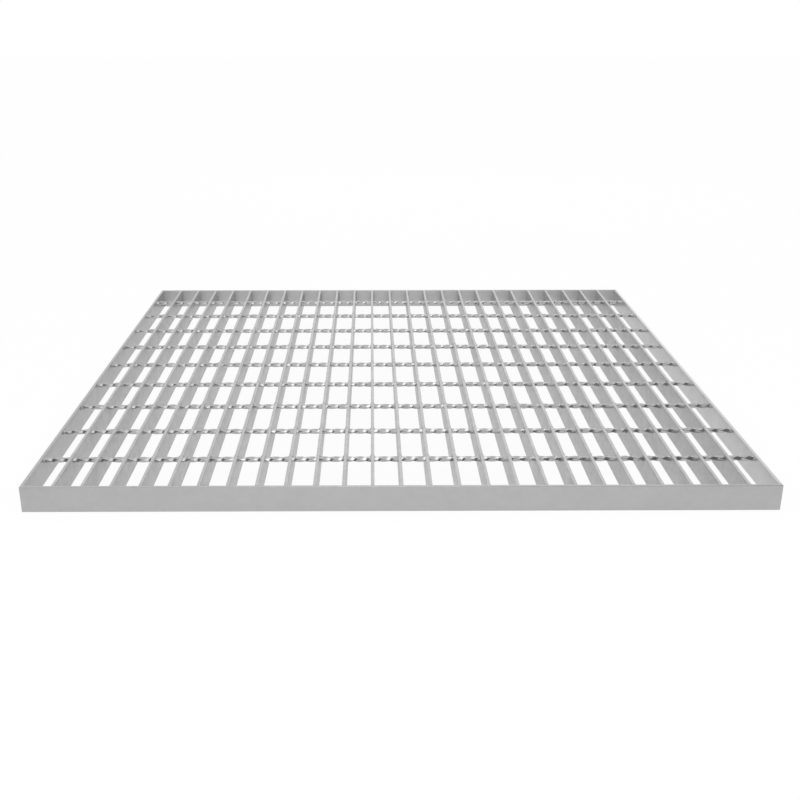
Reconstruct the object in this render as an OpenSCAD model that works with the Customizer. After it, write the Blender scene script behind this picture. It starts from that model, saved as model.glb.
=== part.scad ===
// Steel grating panel: bearing bars stand on edge, crossed by twisted square rods
// that are forged into their tops, inside a frame of flat bar. Millimetres, +Z up.
// The origin is the centre of the frame's underside, where the panel rests. The
// bearing bars run along Y, from the front band at -Y to the back band at +Y.

/* [Panel] */
// Overall width, across the bearing bars
panel_w = 1000; // [400:1:1200]
// Overall length, along the bearing bars
panel_l = 1000; // [400:1:1200]

/* [Frame] */
// Depth of the frame's flat bar
band_h = 36; // [34:0.5:60]
// Thickness of the frame's flat bar
band_t = 4.5; // [3:0.1:8]

/* [Bearing bars] */
// Distance between the centres of two bearing bars
bar_pitch = 38.1; // [28:0.1:60]
// Depth of a bearing bar, whose top is level with the frame's
bar_h = 33; // [24:0.5:34]
// Thickness of a bearing bar
bar_t = 4.5; // [3:0.1:8]

/* [Cross rods] */
// Distance between the centres of two cross rods
rod_pitch = 101.6; // [50:0.1:150]
// From the panel's front face to the centre of the first rod
rod_start = 98; // [40:1:150]
// Side of the square rod
rod_side = 6; // [4:0.1:7]
// Length of rod in which the twist makes one full turn
rod_lay = 67; // [50:1:120]
// Depth of the rod's highest corners below the bar tops
rod_sink = 0.3; // [0.1:0.1:2]

/* [Welds] */
// Leg of the fillet weld between a bearing bar's end and the frame
fillet_leg = 4; // [2:0.5:5]
// Height of that fillet weld
fillet_h = 22; // [10:1:24]
// Radius of the weld that holds a rod's end to the frame
rod_weld_r = 6.5; // [6:0.5:9]
// Length of that weld along the rod
rod_weld_l = 4; // [2:0.5:6]

/* [Hidden] */

// Flats along one full turn of a rod's twist
twist_steps = 8;
// Clear width and length inside the frame
inner_w = panel_w - 2*band_t;
inner_l = panel_l - 2*band_t;
// The bars divide the clear width into spaces of about one pitch
bar_count = round(inner_w/bar_pitch) - 1;
bar_x = [for (i = [0:bar_count - 1]) (i - (bar_count - 1)/2)*bar_pitch];
// The rods start at the front, and the last one keeps a weld's room to the back band
rod_count = 1 + floor((panel_l - band_t - rod_start - 2*rod_weld_r)/rod_pitch);
rod_y = [for (j = [0:rod_count - 1]) -panel_l/2 + rod_start + j*rod_pitch];
rod_z = band_h - rod_sink - rod_side*sqrt(2)/2;
// The end welds are level with the rods' tops and sag below them
rod_weld_z = band_h - rod_sink - rod_weld_r;
// Where each space between two bars, or a bar and the frame, starts and ends
space_from = concat([-inner_w/2], [for (x = bar_x) x + bar_t/2]);
space_to = concat([for (x = bar_x) x - bar_t/2], [inner_w/2]);

// A flat bar on edge, centred on X and Y, from z_low up to the panel's top
module flat_bar(size_x, size_y, z_low) {
    translate([-size_x/2, -size_y/2, z_low])
        cube([size_x, size_y, band_h - z_low]);
}

// The stretch of twisted rod that shows in one space; the twist runs on through the bars
module rod_stretch(x_from, x_to) {
    length = x_to - x_from;
    translate([x_from, 0, rod_z])
        rotate([0, 90, 0])
            linear_extrude(height = length, twist = -360*length/rod_lay,
                           slices = max(2, round(twist_steps*length/rod_lay)), segments = 4)
                rotate(360*x_from/rod_lay) square(rod_side, center = true);
}

// The weld round a rod's end, on the inner face of the left (-1) or right (1) band
module rod_end_weld(side) {
    translate([side*inner_w/2, 0, rod_weld_z])
        rotate([0, -side*90, 0])
            cylinder(h = rod_weld_l, r1 = rod_weld_r, r2 = rod_side*0.75, $fn = 24);
}

// One cross rod with its two end welds
module cross_rod() {
    for (k = [0:bar_count]) rod_stretch(space_from[k], space_to[k]);
    for (side = [-1, 1]) rod_end_weld(side);
}

// The fillet welds that hold one bearing bar's two ends to the frame
module bar_end_welds() {
    for (end = [-1, 1])
        translate([bar_t/2, end*inner_l/2, band_h - bar_h + (bar_h - fillet_h)/2])
            linear_extrude(fillet_h)
                polygon([[0, 0], [fillet_leg, 0], [0, -end*fillet_leg]]);
}

// Every bearing bar and cross rod, welded into one piece
module welded_grid() {
    color([0.70, 0.71, 0.71]) {
        for (x = bar_x)
            translate([x, 0, 0]) {
                flat_bar(bar_t, inner_l, band_h - bar_h);
                bar_end_welds();
            }
        for (y = rod_y) translate([0, y, 0]) cross_rod();
    }
}

// A band across the front or back, over the panel's full width
module cross_band(end) {
    color([0.68, 0.69, 0.69])
        translate([0, end*(panel_l - band_t)/2, 0]) flat_bar(panel_w, band_t, 0);
}

// A band along one side, between the front and back bands
module side_band(side) {
    color([0.66, 0.67, 0.67])
        translate([side*(panel_w - band_t)/2, 0, 0]) flat_bar(band_t, inner_l, 0);
}

module front_band() { cross_band(-1); }
module back_band() { cross_band(1); }
module left_band() { side_band(-1); }
module right_band() { side_band(1); }

welded_grid();
front_band();
back_band();
left_band();
right_band();
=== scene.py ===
"""A hot-dip galvanised steel grating panel, dressed for a studio view.

Bearing bars stand on edge, twisted square rods are forged into their tops, and four bands of
flat bar frame them. Everything is in metres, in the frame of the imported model.
"""
import logging
import math
from dataclasses import dataclass, field
from enum import Enum

import bmesh
import bpy
from mathutils import Matrix, Vector


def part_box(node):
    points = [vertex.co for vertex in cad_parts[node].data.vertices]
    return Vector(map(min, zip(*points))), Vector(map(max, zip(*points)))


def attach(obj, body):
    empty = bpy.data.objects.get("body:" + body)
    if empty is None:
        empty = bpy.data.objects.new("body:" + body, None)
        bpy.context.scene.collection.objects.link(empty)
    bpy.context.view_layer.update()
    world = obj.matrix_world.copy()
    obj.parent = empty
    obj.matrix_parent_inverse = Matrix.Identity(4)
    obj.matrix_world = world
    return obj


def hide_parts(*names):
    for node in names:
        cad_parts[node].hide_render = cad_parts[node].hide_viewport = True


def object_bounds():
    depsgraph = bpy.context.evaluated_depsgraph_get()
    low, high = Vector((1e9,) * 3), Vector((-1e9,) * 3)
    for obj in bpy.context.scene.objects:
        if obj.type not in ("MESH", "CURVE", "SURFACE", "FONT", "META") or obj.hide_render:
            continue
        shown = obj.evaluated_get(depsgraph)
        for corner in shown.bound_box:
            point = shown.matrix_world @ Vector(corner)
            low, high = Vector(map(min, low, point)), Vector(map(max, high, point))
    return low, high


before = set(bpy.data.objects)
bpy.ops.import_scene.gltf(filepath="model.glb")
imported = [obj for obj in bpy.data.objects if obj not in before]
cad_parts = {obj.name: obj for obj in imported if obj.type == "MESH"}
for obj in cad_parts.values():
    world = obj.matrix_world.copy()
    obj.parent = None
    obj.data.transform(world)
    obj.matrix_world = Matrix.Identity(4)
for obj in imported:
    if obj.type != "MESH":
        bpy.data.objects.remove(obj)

CAD_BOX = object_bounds()
MM = 0.001
BODY = "root"
# An angle in degrees that no edge exceeds, for pieces that are round all over
ALL_SMOOTH = 180.0
log = logging.getLogger("grating")


# ---------------------------------------------------------------------------------------------
# Nodes, colours and meshes
# ---------------------------------------------------------------------------------------------


def add_node(tree: bpy.types.NodeTree, kind: str, links: dict | None = None, **settings) -> bpy.types.Node:
    """Adds one node to a shader or geometry tree.

    Args:
        tree: The tree that the node goes into.
        kind: The node's type name.
        links: Input name or number to a socket, which is linked, or a plain value.
        **settings: Attributes of the node itself.

    Returns:
        The new node.
    """
    node = tree.nodes.new(kind)
    for name, value in settings.items():
        setattr(node, name, value)
    for key, value in (links or {}).items():
        if isinstance(value, bpy.types.NodeSocket):
            tree.links.new(value, node.inputs[key])
        else:
            node.inputs[key].default_value = value
    return node


def linear(code: str) -> tuple[float, float, float, float]:
    """Turns an sRGB hex colour into linear RGBA.

    Args:
        code: The colour, such as "#b4b6b7".

    Returns:
        Linear red, green, blue and an alpha of 1.
    """
    parts = [int(code[i:i + 2], 16) / 255 for i in (1, 3, 5)]
    straight = [c / 12.92 if c <= 0.04045 else ((c + 0.055) / 1.055) ** 2.4 for c in parts]
    return (*straight, 1.0)


def mesh_object(name: str, shape: bmesh.types.BMesh) -> bpy.types.Object:
    """Turns a finished bmesh into an object at the origin.

    Args:
        name: The object's name.
        shape: The bmesh, which is freed.

    Returns:
        The linked object.
    """
    bmesh.ops.recalc_face_normals(shape, faces=shape.faces)
    mesh = bpy.data.meshes.new(name)
    shape.to_mesh(mesh)
    shape.free()
    obj = bpy.data.objects.new(name, mesh)
    bpy.context.scene.collection.objects.link(obj)
    return obj


def smooth_by_angle(obj: bpy.types.Object, degrees: float) -> None:
    """Shades a mesh smooth, and keeps edges sharper than an angle as edges.

    Args:
        obj: The object whose mesh is shaded.
        degrees: The angle between two faces above which their edge stays sharp.
    """
    obj.data.shade_smooth()
    obj.data.set_sharp_from_angle(angle=math.radians(degrees))


def dress(obj: bpy.types.Object, slot: str, *nodes: str) -> bpy.types.Object:
    """Puts a finished piece on the body, in place of the CAD nodes that it stands for.

    Args:
        obj: The piece.
        slot: The record's material slot for the piece; not used.
        *nodes: The CAD nodes that it stands for.

    Returns:
        The piece.
    """
    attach(obj, BODY)
    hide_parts(*nodes)
    log.info("%s: %d faces", obj.name, len(obj.data.polygons))
    return obj


# ---------------------------------------------------------------------------------------------
# Finishes
# ---------------------------------------------------------------------------------------------


@dataclass(frozen=True)
class GalvanisedZinc:
    """A hot-dip zinc coat on steel: dull, pale grey, faintly mottled by its crystals.

    The crystals (spangle) are a few millimetres wide and differ a little in tone and in
    roughness. The coat's surface ripples slightly where the zinc ran off.
    """

    name: str
    pale: str
    deep: str
    metallic: float
    rough_low: float
    rough_high: float
    spangle_mm: float = 7.0
    mottle_mm: float = 60.0
    ripple_mm: float = 2.5
    ripple_depth_mm: float = 0.03
    # How much of the tone comes from the broad mottling; the rest comes from single crystals
    mottle_share: float = 0.65
    # Almost all of the mixed tone lies in this range
    tone_range: tuple[float, float] = (0.25, 0.75)

    def material(self) -> bpy.types.Material:
        """Builds the finish as a node material.

        Returns:
            The material.
        """
        made = bpy.data.materials.new(self.name)
        made.use_nodes = True
        tree = made.node_tree
        shader = tree.nodes["Principled BSDF"]
        shader.inputs["Metallic"].default_value = self.metallic
        place = add_node(tree, "ShaderNodeTexCoord").outputs["Object"]
        spangle = add_node(tree, "ShaderNodeTexVoronoi",
                           {"Vector": place, "Scale": 1 / (self.spangle_mm * MM)})
        crystal = add_node(tree, "ShaderNodeSeparateColor", {"Color": spangle.outputs["Color"]})
        mottle = add_node(tree, "ShaderNodeTexNoise",
                          {"Vector": place, "Scale": 1 / (self.mottle_mm * MM),
                           "Detail": 4.0, "Roughness": 0.6})
        tone = add_node(tree, "ShaderNodeMix",
                        {0: self.mottle_share, 2: crystal.outputs["Red"], 3: mottle.outputs["Fac"]},
                        data_type="FLOAT")
        colour = add_node(tree, "ShaderNodeMix",
                          {0: tone.outputs[0], 6: linear(self.deep), 7: linear(self.pale)}, data_type="RGBA")
        tree.links.new(colour.outputs[2], shader.inputs["Base Color"])
        rough = add_node(tree, "ShaderNodeMapRange",
                         {"Value": tone.outputs[0],
                          "From Min": self.tone_range[0], "From Max": self.tone_range[1],
                          "To Min": self.rough_high, "To Max": self.rough_low})
        tree.links.new(rough.outputs["Result"], shader.inputs["Roughness"])
        ripple = add_node(tree, "ShaderNodeTexNoise",
                          {"Vector": place, "Scale": 1 / (self.ripple_mm * MM), "Detail": 2.0})
        bump = add_node(tree, "ShaderNodeBump",
                        {"Height": ripple.outputs["Fac"], "Strength": 0.5,
                         "Distance": self.ripple_depth_mm * MM})
        tree.links.new(bump.outputs["Normal"], shader.inputs["Normal"])
        return made


class Coat(Enum):
    """The panel's zinc coats, each named for how it set on its steel, but for one paler copy that paints
    light into shade.
    """

    # Flat bar: an even, dull grey sheen with hardly a crystal to see, so that the flats look calm
    DULL = GalvanisedZinc("dull_galvanised_steel", "#b4b4b4", "#aeaeae", 0.6, 0.28, 0.36)
    # Flat bar with the same soft sheen, painted a tone paler to lift the shade that falls on the back and
    # right bands
    LIGHT = GalvanisedZinc("shade_lifting_galvanised_steel", "#cbcbcb", "#c5c5c5", 0.6, 0.28, 0.36)
    # Hot-rolled bar, in whose coat the zinc turned to alloy: matter, and faintly blotched
    MATT = GalvanisedZinc("matt_galvanised_steel", "#c0c0c0", "#a8a8a8", 0.35, 0.28, 0.36)
    # Thin twisted bar that the zinc ran off clean: glints and dark facets, over a small spangle
    BRIGHT = GalvanisedZinc("bright_galvanised_steel", "#c3c3c3", "#9f9f9f", 1.0, 0.15, 0.33, spangle_mm=3.0,
                            mottle_mm=25.0, ripple_mm=1.5, ripple_depth_mm=0.08)
    # Weld metal under zinc: small rough lumps that glitter without a clear reflection
    WELD = GalvanisedZinc("galvanised_weld_metal", "#c2c2c2", "#a0a0a0", 1.0, 0.25, 0.45, spangle_mm=2.5,
                          mottle_mm=12.0, ripple_mm=1.2, ripple_depth_mm=0.12)


# ---------------------------------------------------------------------------------------------
# Geometry Nodes
# ---------------------------------------------------------------------------------------------


def new_tree(name: str, inputs: dict[str, str]) -> tuple[bpy.types.NodeTree, bpy.types.Node]:
    """Starts a Geometry Nodes tree with named inputs and one geometry output.

    Args:
        name: The tree's name.
        inputs: Input name to socket type, such as "Float" or "Int".

    Returns:
        The tree, and its Group Input node.
    """
    tree = bpy.data.node_groups.new(name, "GeometryNodeTree")
    for label, kind in inputs.items():
        tree.interface.new_socket(label, in_out="INPUT", socket_type="NodeSocket" + kind)
    tree.interface.new_socket("Geometry", in_out="OUTPUT", socket_type="NodeSocketGeometry")
    return tree, tree.nodes.new("NodeGroupInput")


def end_tree(tree: bpy.types.NodeTree, shape: bpy.types.NodeSocket, given: bpy.types.Node) -> None:
    """Ripples the shape's surface, gives it its material and ends the tree.

    Args:
        tree: The tree, whose inputs include Ripple, Ripple length and Material.
        shape: The socket of the realized geometry.
        given: The tree's Group Input node.
    """
    place = add_node(tree, "GeometryNodeInputPosition").outputs["Position"]
    per_metre = add_node(tree, "ShaderNodeMath", {0: 1.0, 1: given.outputs["Ripple length"]},
                         operation="DIVIDE")
    noise = add_node(tree, "ShaderNodeTexNoise",
                     {"Vector": place, "Scale": per_metre.outputs[0], "Detail": 1.0})
    centred = add_node(tree, "ShaderNodeVectorMath", {0: noise.outputs["Color"], 1: (0.5, 0.5, 0.5)},
                       operation="SUBTRACT")
    shift = add_node(tree, "ShaderNodeVectorMath", {0: centred.outputs[0], "Scale": given.outputs["Ripple"]},
                     operation="SCALE")
    rippled = add_node(tree, "GeometryNodeSetPosition", {"Geometry": shape, "Offset": shift.outputs[0]})
    finished = add_node(tree, "GeometryNodeSetMaterial",
                        {"Geometry": rippled.outputs[0], "Material": given.outputs["Material"]})
    add_node(tree, "NodeGroupOutput", {0: finished.outputs[0]})


def array_tree() -> bpy.types.NodeTree:
    """Builds the tree that repeats a shape in columns and rows, each copy a little out of true.

    Returns:
        The tree.
    """
    tree, given = new_tree("rows_and_columns", {
        "Geometry": "Geometry", "Columns": "Int", "Rows": "Int", "Column pitch": "Vector",
        "Row pitch": "Vector", "First": "Vector", "Turn": "Vector", "Seed": "Int", "Ripple": "Float",
        "Ripple length": "Float", "Material": "Material"})
    columns = add_node(tree, "GeometryNodeMeshLine",
                       {"Count": given.outputs["Columns"], "Start Location": given.outputs["First"],
                        "Offset": given.outputs["Column pitch"]})
    rows = add_node(tree, "GeometryNodeMeshLine",
                    {"Count": given.outputs["Rows"], "Offset": given.outputs["Row pitch"]})
    grid = add_node(tree, "GeometryNodeInstanceOnPoints",
                    {"Points": rows.outputs[0], "Instance": columns.outputs[0]})
    points = add_node(tree, "GeometryNodeRealizeInstances", {0: grid.outputs[0]})
    least = add_node(tree, "ShaderNodeVectorMath", {0: given.outputs["Turn"], "Scale": -1.0},
                     operation="SCALE")
    turn = add_node(tree, "FunctionNodeRandomValue",
                    {0: least.outputs[0], 1: given.outputs["Turn"], 8: given.outputs["Seed"]},
                    data_type="FLOAT_VECTOR")
    angle = add_node(tree, "FunctionNodeEulerToRotation", {0: turn.outputs[0]})
    copies = add_node(tree, "GeometryNodeInstanceOnPoints",
                      {"Points": points.outputs[0], "Instance": given.outputs["Geometry"],
                       "Rotation": angle.outputs[0]})
    realized = add_node(tree, "GeometryNodeRealizeInstances", {0: copies.outputs[0]})
    end_tree(tree, realized.outputs[0], given)
    return tree


def rod_tree() -> bpy.types.NodeTree:
    """Builds the tree that sweeps a square with rounded corners along twisted rods.

    Returns:
        The tree.
    """
    tree, given = new_tree("twisted_rods", {
        "Length": "Float", "Turn rate": "Float", "Side": "Float", "Corner": "Float", "Rings": "Int",
        "Rods": "Int", "First": "Vector", "Pitch": "Vector", "Seed": "Int", "Ripple": "Float",
        "Ripple length": "Float", "Material": "Material"})
    half = add_node(tree, "ShaderNodeMath", {0: given.outputs["Length"], 1: 0.5}, operation="MULTIPLY")
    minus = add_node(tree, "ShaderNodeMath", {0: half.outputs[0], 1: -1.0}, operation="MULTIPLY")
    left = add_node(tree, "ShaderNodeCombineXYZ", {0: minus.outputs[0]})
    right = add_node(tree, "ShaderNodeCombineXYZ", {0: half.outputs[0]})
    line = add_node(tree, "GeometryNodeCurvePrimitiveLine",
                    {"Start": left.outputs[0], "End": right.outputs[0]})
    rings = add_node(tree, "GeometryNodeResampleCurve",
                     {"Curve": line.outputs[0], "Count": given.outputs["Rings"]}, mode="COUNT")
    position = add_node(tree, "GeometryNodeInputPosition").outputs["Position"]
    place = add_node(tree, "ShaderNodeSeparateXYZ", {0: position})
    tilt = add_node(tree, "ShaderNodeMath", {0: place.outputs["X"], 1: given.outputs["Turn rate"]},
                    operation="MULTIPLY")
    twisted = add_node(tree, "GeometryNodeSetCurveTilt", {"Curve": rings.outputs[0], "Tilt": tilt.outputs[0]})
    square = add_node(tree, "GeometryNodeCurvePrimitiveQuadrilateral",
                      {0: given.outputs["Side"], 1: given.outputs["Side"]})
    rounded = add_node(tree, "GeometryNodeFilletCurve",
                       {"Curve": square.outputs[0], "Count": 3, "Radius": given.outputs["Corner"]},
                       mode="POLY")
    divided = add_node(tree, "GeometryNodeSubdivideCurve", {"Curve": rounded.outputs[0], "Cuts": 1})
    swept = add_node(tree, "GeometryNodeCurveToMesh",
                     {"Curve": twisted.outputs[0], "Profile Curve": divided.outputs[0], "Fill Caps": True})
    smooth = add_node(tree, "GeometryNodeSetShadeSmooth", {0: swept.outputs[0], "Shade Smooth": True})
    stations = add_node(tree, "GeometryNodeMeshLine",
                        {"Count": given.outputs["Rods"], "Start Location": given.outputs["First"],
                         "Offset": given.outputs["Pitch"]})
    phase = add_node(tree, "FunctionNodeRandomValue",
                     {0: (0.0, 0.0, 0.0), 1: (math.pi / 2, 0.0, 0.0), 8: given.outputs["Seed"]},
                     data_type="FLOAT_VECTOR")
    angle = add_node(tree, "FunctionNodeEulerToRotation", {0: phase.outputs[0]})
    copies = add_node(tree, "GeometryNodeInstanceOnPoints",
                      {"Points": stations.outputs[0], "Instance": smooth.outputs[0],
                       "Rotation": angle.outputs[0]})
    realized = add_node(tree, "GeometryNodeRealizeInstances", {0: copies.outputs[0]})
    end_tree(tree, realized.outputs[0], given)
    return tree


def run_tree(obj: bpy.types.Object, tree: bpy.types.NodeTree, inputs: dict) -> bpy.types.Object:
    """Runs a tree on an object once, and keeps the result as the object's plain mesh.

    Args:
        obj: The object, whose mesh is the tree's starting shape.
        tree: The Geometry Nodes tree.
        inputs: Input name to value.

    Returns:
        The object, with no modifier left.
    """
    step = obj.modifiers.new(tree.name, "NODES")
    step.node_group = tree
    for item in tree.interface.items_tree:
        if item.in_out == "INPUT" and item.name in inputs:
            step[item.identifier] = inputs[item.name]
    view = bpy.context.evaluated_depsgraph_get()
    made = bpy.data.meshes.new_from_object(obj.evaluated_get(view), depsgraph=view)
    obj.modifiers.remove(step)
    obj.data = made
    made.name = obj.name
    return obj


# ---------------------------------------------------------------------------------------------
# The panel
# ---------------------------------------------------------------------------------------------


@dataclass
class GratingSizes:
    """The sizes that the sub-assemblies share, in metres; the outer ones come from the frame."""

    bar_pitch: float = 38.1 * MM
    bar_thickness: float = 4.5 * MM
    bar_count: int = 25
    rod_pitch: float = 101.6 * MM
    rod_start: float = 98 * MM
    rod_side: float = 6 * MM
    rod_lay: float = 67 * MM
    rod_sink: float = 0.3 * MM
    rod_count: int = 9
    inner_low: Vector = field(default_factory=Vector)
    inner_high: Vector = field(default_factory=Vector)
    bar_foot: float = 0.0

    def __post_init__(self) -> None:
        """Reads the clear space inside the bands, and the bars' foot, from the CAD nodes."""
        left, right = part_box("left_band"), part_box("right_band")
        front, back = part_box("front_band"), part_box("back_band")
        self.inner_low = Vector((left[1].x, front[1].y, 0.0))
        self.inner_high = Vector((right[0].x, back[0].y, front[1].z))
        self.bar_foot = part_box("welded_grid")[0].z

    @property
    def top(self) -> float:
        """The height of the bar tops and of the frame's top edge."""
        return self.inner_high.z

    @property
    def length(self) -> float:
        """The length of a bearing bar."""
        return self.inner_high.y - self.inner_low.y

    @property
    def first_bar(self) -> float:
        """The place of the leftmost bearing bar's centre."""
        return -(self.bar_count - 1) / 2 * self.bar_pitch

    @property
    def first_rod(self) -> float:
        """The place of the front rod's centre."""
        return CAD_BOX[0].y + self.rod_start

    @property
    def rod_reach(self) -> float:
        """The distance from a rod's centre to its corners."""
        return self.rod_side * math.sqrt(0.5)

    @property
    def rod_height(self) -> float:
        """The height of the rods' centres."""
        return self.top - self.rod_sink - self.rod_reach


@dataclass
class BearingBars:
    """The bars on edge, upset a little where each rod was forged into them."""

    sizes: GratingSizes
    edge_radius: float = 0.6 * MM
    # The rod rolled the metal up behind it, and left a nick between the two: how far each stands out
    # or sinks in, its place behind the crossing, its reach along the bar and its reach down the bar
    swell: float = 0.25 * MM
    swell_place: float = 6 * MM
    swell_reach: float = 2.6 * MM
    swell_depth: float = 4 * MM
    nick: float = 0.6 * MM
    nick_place: float = 4.2 * MM
    nick_reach: float = 0.9 * MM
    nick_depth: float = 1.5 * MM
    # How far a bar may lean to either side, and the angle in degrees above which its edges are sharp
    lean: float = math.radians(0.8)
    sharp_above: float = 40.0
    seed: int = 3
    # Distances from a crossing, in millimetres along the bar, at which the bar has a ring of points
    ring_steps: tuple[float, ...] = (-8, -5, -2.5, 0, 2, 3.3, 4.2, 5, 6, 7.5, 9.5, 13)
    # Depths below the top, in millimetres, at which the bar's sides have a line of points
    side_depths: tuple[float, ...] = (2.2, 4.5, 7, 11)

    def outline(self) -> list[tuple[float, float]]:
        """Draws the bar's section, with rounded edges and the lines at which it swells.

        Returns:
            Points (x, depth below the top), once round.
        """
        half, r = self.sizes.bar_thickness / 2, self.edge_radius
        depth = self.sizes.top - self.sizes.bar_foot
        centres = [(half - r, r, 90), (half - r, depth - r, 0),
                   (r - half, depth - r, -90), (r - half, r, -180)]
        corners = [[(x + r * math.cos(math.radians(a)), z - r * math.sin(math.radians(a)))
                    for a in (start, start - 45, start - 90)] for x, z, start in centres]
        down = [(half, d * MM) for d in self.side_depths]
        up = [(-half, d * MM) for d in reversed(self.side_depths)]
        return [(0.0, 0.0), *corners[0], *down, *corners[1], *corners[2], *up, *corners[3]]

    def upset(self, x: float, depth: float, away: float) -> tuple[float, float]:
        """Moves a point of the section as forging the rod in moved the metal.

        Args:
            x: The point's place across the bar.
            depth: Its depth below the top.
            away: Its distance from the crossing, along the bar.

        Returns:
            The place across and the depth, after forging.
        """
        from_swell = (away - self.swell_place) / self.swell_reach
        from_nick = (away - self.nick_place) / self.nick_reach
        swelling = self.swell * math.exp(-from_swell ** 2) * math.exp(-(depth / self.swell_depth) ** 2)
        sinking = self.nick * math.exp(-from_nick ** 2) * math.exp(-depth / self.nick_depth)
        on_centre_line = abs(x) <= MM * MM
        return x + (0.0 if on_centre_line else math.copysign(swelling, x)), depth + sinking

    def one_bar(self) -> bmesh.types.BMesh:
        """Builds one bar about its own top line, running along Y.

        Returns:
            The bar as a closed bmesh.
        """
        s = self.sizes
        crossings = [s.first_rod + k * s.rod_pitch for k in range(s.rod_count)]
        # The bar's two ends count as a metre from any crossing, so nothing is upset there
        rings = [(s.inner_low.y, 1.0), (s.inner_high.y, 1.0)]
        rings += [(y + step * MM, step * MM) for y in crossings for step in self.ring_steps]
        shape = bmesh.new()
        loops = []
        for y, away in sorted(rings):
            points = [self.upset(x, depth, away) for x, depth in self.outline()]
            loops.append([shape.verts.new((x, y, -depth)) for x, depth in points])
        for one, other in zip(loops, loops[1:]):
            for k, vert in enumerate(one):
                shape.faces.new((vert, one[k - 1], other[k - 1], other[k]))
        shape.faces.new(loops[0])
        shape.faces.new(reversed(loops[-1]))
        return shape

    def build(self, tree: bpy.types.NodeTree, finish: bpy.types.Material) -> bpy.types.Object:
        """Repeats the bar across the panel.

        Args:
            tree: The tree of rows and columns.
            finish: The bars' material.

        Returns:
            All the bars, as one piece.
        """
        s = self.sizes
        bars = mesh_object("bearing_bars", self.one_bar())
        smooth_by_angle(bars, self.sharp_above)
        run_tree(bars, tree, {
            "Columns": s.bar_count, "Rows": 1, "Column pitch": (s.bar_pitch, 0, 0), "Row pitch": (0, 0, 0),
            "First": (s.first_bar, 0, s.top - s.bar_thickness / 2 * math.sin(self.lean)),
            "Turn": (0, self.lean, 0), "Seed": self.seed,
            "Ripple": 0.0, "Ripple length": 1.0, "Material": finish})
        return dress(bars, "grid_steel", "welded_grid")


@dataclass
class CrossRods:
    """The twisted square rods that cross the bars just under their tops."""

    sizes: GratingSizes
    corner_radius: float = 0.8 * MM
    rings_per_turn: int = 22
    ripple: float = 0.2 * MM
    ripple_length: float = 4 * MM
    seed: int = 11

    def build(self, tree: bpy.types.NodeTree, finish: bpy.types.Material) -> bpy.types.Object:
        """Sweeps the rods.

        Args:
            tree: The tree of twisted rods.
            finish: The rods' material.

        Returns:
            All the rods, as one piece.
        """
        s = self.sizes
        span = s.inner_high.x - s.inner_low.x
        rods = mesh_object("twisted_cross_rods", bmesh.new())
        run_tree(rods, tree, {
            "Length": span, "Turn rate": 2 * math.pi / s.rod_lay, "Side": s.rod_side,
            "Corner": self.corner_radius, "Rings": round(span / s.rod_lay * self.rings_per_turn),
            "Rods": s.rod_count, "First": (0, s.first_rod, s.rod_height), "Pitch": (0, s.rod_pitch, 0),
            "Seed": self.seed, "Ripple": self.ripple, "Ripple length": self.ripple_length,
            "Material": finish})
        return dress(rods, "grid_steel", "welded_grid")


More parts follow.
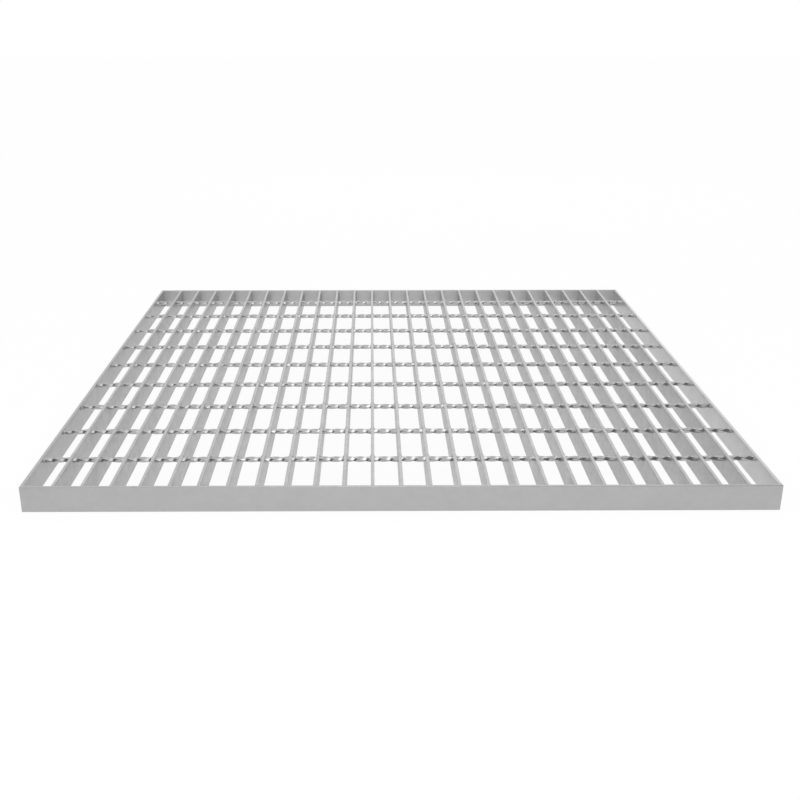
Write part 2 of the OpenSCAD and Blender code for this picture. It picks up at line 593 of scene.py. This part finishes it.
@dataclass
class Welds:
    """The flash at each crossing, and the welds where rods and bars end on the frame."""

    sizes: GratingSizes
    flash_radius: float = 1.1 * MM
    # The flash's half sizes in radii, its depth below the rod's top and how far a copy may turn
    flash_shape: tuple[float, ...] = (1.2, 1.3, 0.8)
    flash_drop: float = 1.5 * MM
    flash_turn: tuple[float, ...] = (0.06, 0.05, 0.25)
    flash_ripple: float = 1.0 * MM
    # Each drop of a rod-end weld: its direction from the rod's centre in degrees, and its distance
    # in millimetres
    rod_weld_drops: tuple[tuple[float, float], ...] = (
        (-35, 3.6), (10, 3.7), (90, 1.6), (165, 3.8), (205, 3.2))
    rod_weld_radius: float = 1.7 * MM
    rod_weld_depth: float = 2.6 * MM
    rod_weld_ripple: float = 1.4 * MM
    fillet_leg: float = 4 * MM
    fillet_height: float = 22 * MM
    fillet_drops: int = 7
    fillet_drop_radius: float = 2.4 * MM
    fillet_ripple: float = 0.5 * MM
    ripple_length: float = 3 * MM
    seed: int = 5

    @staticmethod
    def lump(shape: bmesh.types.BMesh, centre: Vector, reach: Vector, detail: int) -> None:
        """Adds one rounded lump of metal to a bmesh.

        Args:
            shape: The bmesh.
            centre: The lump's centre.
            reach: Its half sizes.
            detail: How often the starting icosahedron is divided, plus one.
        """
        place = Matrix.Translation(centre) @ Matrix.Diagonal((*reach, 1.0))
        bmesh.ops.create_icosphere(shape, subdivisions=detail, radius=1.0, matrix=place)

    def spread(self, name: str, shape: bmesh.types.BMesh, tree: bpy.types.NodeTree,
               inputs: dict) -> bpy.types.Object:
        """Repeats a weld's shape along the panel, and puts the result on the body.

        Args:
            name: The piece's name.
            shape: The weld's shape, which is freed.
            tree: The tree of rows and columns.
            inputs: The tree's inputs, apart from those that all welds share.

        Returns:
            The welds, as one piece.
        """
        welds = mesh_object(name, shape)
        smooth_by_angle(welds, ALL_SMOOTH)
        run_tree(welds, tree, {"Seed": self.seed, "Ripple length": self.ripple_length, **inputs})
        return dress(welds, "grid_steel", "welded_grid")

    def flash(self, tree: bpy.types.NodeTree, finish: bpy.types.Material) -> bpy.types.Object:
        """Makes the small flash of forged metal on both sides of every crossing.

        Args:
            tree: The tree of rows and columns.
            finish: The material.

        Returns:
            The flash, as one piece.
        """
        s = self.sizes
        shape = bmesh.new()
        for wall in (-s.bar_thickness / 2, s.bar_thickness / 2):
            self.lump(shape, Vector((wall, s.rod_reach, s.rod_reach - self.flash_drop)),
                      Vector(self.flash_shape) * self.flash_radius, 2)
        return self.spread("crossing_flash", shape, tree, {
            "Columns": s.bar_count, "Rows": s.rod_count, "Column pitch": (s.bar_pitch, 0, 0),
            "Row pitch": (0, s.rod_pitch, 0), "First": (s.first_bar, s.first_rod, s.rod_height),
            "Turn": self.flash_turn, "Ripple": self.flash_ripple, "Material": finish})

    def rod_ends(self, tree: bpy.types.NodeTree, finish: bpy.types.Material) -> bpy.types.Object:
        """Makes the weld round each rod's end, on the side bands.

        Args:
            tree: The tree of rows and columns.
            finish: The material.

        Returns:
            The welds, as one piece.
        """
        s = self.sizes
        reach = Vector((self.rod_weld_depth, self.rod_weld_radius, self.rod_weld_radius))
        shape = bmesh.new()
        for wall in (s.inner_low.x, s.inner_high.x):
            for turn, away in self.rod_weld_drops:
                out = away * MM * math.cos(math.radians(turn))
                up = away * MM * math.sin(math.radians(turn))
                self.lump(shape, Vector((wall, out, s.rod_height + up)), reach, 3)
        return self.spread("rod_end_welds", shape, tree, {
            "Columns": 1, "Rows": s.rod_count, "Column pitch": (0, 0, 0), "Row pitch": (0, s.rod_pitch, 0),
            "First": (0, s.first_rod, 0), "Turn": (0, 0, 0), "Ripple": self.rod_weld_ripple,
            "Material": finish})

    def bar_ends(self, tree: bpy.types.NodeTree, finish: bpy.types.Material) -> bpy.types.Object:
        """Makes the upright fillet at one side of each bar's two ends.

        Args:
            tree: The tree of rows and columns.
            finish: The material.

        Returns:
            The fillets, as one piece.
        """
        s, r = self.sizes, self.fillet_drop_radius
        middle = (s.top + s.bar_foot) / 2
        shape = bmesh.new()
        for wall in (s.inner_low.y, s.inner_high.y):
            for k in range(self.fillet_drops):
                z = middle + (k / (self.fillet_drops - 1) - 0.5) * (self.fillet_height - self.fillet_leg)
                self.lump(shape, Vector((s.bar_thickness / 2, wall, z)), Vector((r, r, r)), 2)
        return self.spread("bar_end_fillets", shape, tree, {
            "Columns": s.bar_count, "Rows": 1, "Column pitch": (s.bar_pitch, 0, 0), "Row pitch": (0, 0, 0),
            "First": (s.first_bar, 0, 0), "Turn": (0, 0, 0), "Ripple": self.fillet_ripple,
            "Material": finish})


@dataclass
class Bands:
    """The four bands of flat bar round the panel, with the slight round of rolled edges."""

    edge_radius: float = 0.7 * MM
    edge_steps: int = 3
    # A face whose normal has a part above this lies in a flat, and the others make the rounds
    flat_above: float = 0.999
    # The back and right bands take the paler coat, whose lighter tone is painted light against the shade
    # inside the panel
    coats: dict[str, Coat] = field(default_factory=lambda: {
        "front_band": Coat.DULL, "back_band": Coat.LIGHT, "left_band": Coat.DULL, "right_band": Coat.LIGHT})

    def one_band(self, node: str, finish: bpy.types.Material) -> bpy.types.Object:
        """Builds one band in the place of its CAD node.

        Args:
            node: The CAD node's name.
            finish: The band's material.

        Returns:
            The band.
        """
        low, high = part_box(node)
        shape = bmesh.new()
        bmesh.ops.create_cube(shape, size=1.0, matrix=Matrix.Translation((low + high) / 2)
                              @ Matrix.Diagonal((*(high - low), 1.0)))
        bmesh.ops.bevel(shape, geom=shape.edges[:], offset=self.edge_radius, segments=self.edge_steps,
                        profile=0.5, affect="EDGES")
        band = mesh_object(node + "_galvanised", shape)
        for face in band.data.polygons:
            # Only the rounds are shaded smooth, so that the flats stay flat
            face.use_smooth = max(abs(part) for part in face.normal) < self.flat_above
        band.data.materials.append(finish)
        return dress(band, "band_steel", node)

    def build(self, finishes: dict[Coat, bpy.types.Material]) -> list[bpy.types.Object]:
        """Builds all four bands.

        Args:
            finishes: The material of each coat.

        Returns:
            The bands.
        """
        return [self.one_band(node, finishes[coat]) for node, coat in self.coats.items()]


# ---------------------------------------------------------------------------------------------
# The studio
# ---------------------------------------------------------------------------------------------


@dataclass(frozen=True)
class SoftLight:
    """A rectangular soft light.

    It has a centre, a point that it faces, a width and a height in metres, and a radiance, which
    says how bright its face is, where white paper in full light is 1.
    """

    name: str
    place: tuple[float, float, float]
    aim: tuple[float, float, float]
    size: tuple[float, float]
    radiance: float

    def hang(self) -> bpy.types.Object:
        """Hangs the light.

        Returns:
            The lamp's object.
        """
        lamp = bpy.data.lights.new(self.name, "AREA")
        lamp.shape = "RECTANGLE"
        lamp.size, lamp.size_y = self.size
        lamp.energy = self.radiance * math.pi * self.size[0] * self.size[1]
        holder = bpy.data.objects.new(self.name, lamp)
        bpy.context.scene.collection.objects.link(holder)
        holder.location = self.place
        holder.rotation_euler = (Vector(self.aim) - Vector(self.place)).to_track_quat("-Z", "Y").to_euler()
        return holder


@dataclass(frozen=True)
class Flag:
    """A grey sheet curved round part of the studio, which only shiny metal mirrors: a glowing, painted
    reflection of dark surroundings.

    It has a lower and an upper edge in metres, and two ends in degrees from straight ahead of
    the panel, right positive.
    """

    name: str
    heights: tuple[float, float]
    span: tuple[float, float]
    grey: str
    reach: float = 0.85
    steps: int = 24

    def hang(self) -> bpy.types.Object:
        """Hangs the flag.

        Returns:
            The flag.
        """
        shape = bmesh.new()
        pairs = []
        for k in range(self.steps + 1):
            turn = math.radians(self.span[0] + (self.span[1] - self.span[0]) * k / self.steps)
            side, ahead = self.reach * math.sin(turn), -self.reach * math.cos(turn)
            pairs.append([shape.verts.new((side, ahead, z)) for z in self.heights])
        for one, other in zip(pairs, pairs[1:]):
            shape.faces.new((one[0], other[0], other[1], one[1]))
        reflection_sheet = mesh_object(self.name, shape)
        # A plain grey glow that no camera, diffuse ray or shadow sees: a painted reflection that only darkens
        # the metal's tone
        painted_reflection = bpy.data.materials.new(self.name + "_felt")
        painted_reflection.use_nodes = True
        tree = painted_reflection.node_tree
        tree.nodes.remove(tree.nodes["Principled BSDF"])
        shade = add_node(tree, "ShaderNodeEmission", {"Color": linear(self.grey), "Strength": 1.0})
        tree.links.new(shade.outputs[0], tree.nodes["Material Output"].inputs["Surface"])
        reflection_sheet.data.materials.append(painted_reflection)
        reflection_sheet.visible_camera = reflection_sheet.visible_diffuse = reflection_sheet.visible_shadow = False
        return reflection_sheet


@dataclass
class Studio:
    """A pale floor, a white surround, soft lights and the camera."""

    eye: Vector = field(default_factory=lambda: Vector((-0.039, -1.732, 0.626)))
    aim: Vector = field(default_factory=lambda: Vector((-0.029, -0.135, 0.018)))
    lens_mm: float = 46.9
    shift_across: float = 0.0275
    sensor_mm: float = 36.0
    floor_half: float = 12.0
    floor_gap: float = 0.2 * MM
    floor_glow: float = 0.94
    surround: float = 0.85
    # The strip hangs a little in front of the softbox, so that both show in the metal
    lights: tuple[SoftLight, ...] = (
        SoftLight("front_softbox", (-0.055, -1.353, 0.762), (-0.027, -0.3, 0), (1.8, 1.34), 0.45),
        SoftLight("front_strip_light", (-0.05388, -1.31088, 0.73152), (-0.027, -0.3, 0), (0.55, 1.3), 0.9),
        SoftLight("back_softbox", (0.35, 2.3, 1.0), (0, 0.1, 0), (1.8, 1.0), 0.35))
    # Low in front and higher at the right, two glowing grey sheets, seen only in reflections, paint the
    # twisted rods' dark facets
    flags: tuple[Flag, ...] = (
        Flag("low_front_flag", (0.005, 0.17), (-65, 80), "#7c7c7c"),
        Flag("right_flag", (0.17, 0.5), (14, 80), "#7c7c7c"))

    def white_for_view(self, tree: bpy.types.NodeTree) -> bpy.types.NodeSocket:
        """Adds the nodes that tell camera, glossy and transmission rays from the others.

        Args:
            tree: The node tree they go into.

        Returns:
            A socket that is 1 for those rays.
        """
        rays = add_node(tree, "ShaderNodeLightPath")
        seen = add_node(tree, "ShaderNodeMath",
                        {0: rays.outputs["Is Camera Ray"], 1: rays.outputs["Is Glossy Ray"]},
                        operation="MAXIMUM")
        return add_node(tree, "ShaderNodeMath",
                        {0: seen.outputs[0], 1: rays.outputs["Is Transmission Ray"]},
                        operation="MAXIMUM").outputs[0]

    def floor(self) -> bpy.types.Object:
        """Lays the floor, which shows white and keeps a faint shadow.

        Returns:
            The floor.
        """
        shape = bmesh.new()
        bmesh.ops.create_grid(shape, x_segments=1, y_segments=1, size=self.floor_half,
                              matrix=Matrix.Translation((0, 0, CAD_BOX[0].z - self.floor_gap)))
        ground = mesh_object("studio_floor", shape)
        # Matt white paper: it gives the eye a plain ground, on which only the shadow shows
        paper = bpy.data.materials.new("white_studio_paper")
        paper.use_nodes = True
        tree = paper.node_tree
        tree.nodes.remove(tree.nodes["Principled BSDF"])
        matt = add_node(tree, "ShaderNodeBsdfDiffuse", {"Color": linear("#fcfcfc")})
        glow = add_node(tree, "ShaderNodeEmission", {"Color": linear("#ffffff"), "Strength": 1.0})
        share = add_node(tree, "ShaderNodeMath", {0: self.white_for_view(tree), 1: self.floor_glow},
                         operation="MULTIPLY")
        mixed = add_node(tree, "ShaderNodeMixShader",
                         {0: share.outputs[0], 1: matt.outputs[0], 2: glow.outputs[0]})
        tree.links.new(mixed.outputs[0], tree.nodes["Material Output"].inputs["Surface"])
        ground.data.materials.append(paper)
        return ground

    def world(self) -> None:
        """Makes the surround white to look at, and a softer light."""
        world = bpy.data.worlds.new("white_surround")
        world.use_nodes = True
        tree = world.node_tree
        sky = tree.nodes["Background"]
        sky.inputs["Color"].default_value = linear("#ffffff")
        level = add_node(tree, "ShaderNodeMapRange",
                         {"Value": self.white_for_view(tree), "To Min": self.surround, "To Max": 1.0})
        tree.links.new(level.outputs["Result"], sky.inputs["Strength"])
        bpy.context.scene.world = world

    def camera(self) -> None:
        """Sets up the camera."""
        lens = bpy.data.cameras.new("camera")
        lens.lens, lens.sensor_width, lens.shift_x = self.lens_mm, self.sensor_mm, self.shift_across
        lens.clip_start, lens.clip_end = 0.05, 60.0
        holder = bpy.data.objects.new("camera", lens)
        bpy.context.scene.collection.objects.link(holder)
        holder.location = self.eye
        holder.rotation_euler = (self.aim - self.eye).to_track_quat("-Z", "Y").to_euler()
        bpy.context.scene.camera = holder

    def build(self) -> None:
        """Makes the camera, the floor, the surround, the lights and the flags."""
        self.camera()
        self.floor()
        self.world()
        for light in self.lights:
            light.hang()
        for reflection_sheet in self.flags:
            reflection_sheet.hang()
        bpy.context.scene.view_settings.view_transform = "Standard"


def main() -> None:
    """Builds the panel and the studio."""
    logging.basicConfig(level=logging.INFO, format="%(message)s")
    Studio().build()
    sizes = GratingSizes()
    rows_and_columns = array_tree()
    finishes = {coat: coat.value.material() for coat in Coat}
    Bands().build(finishes)
    BearingBars(sizes).build(rows_and_columns, finishes[Coat.MATT])
    CrossRods(sizes).build(rod_tree(), finishes[Coat.BRIGHT])
    welds = Welds(sizes)
    welds.flash(rows_and_columns, finishes[Coat.WELD])
    welds.rod_ends(rows_and_columns, finishes[Coat.WELD])
    welds.bar_ends(rows_and_columns, finishes[Coat.MATT])


if __name__ == "__main__":
    main()
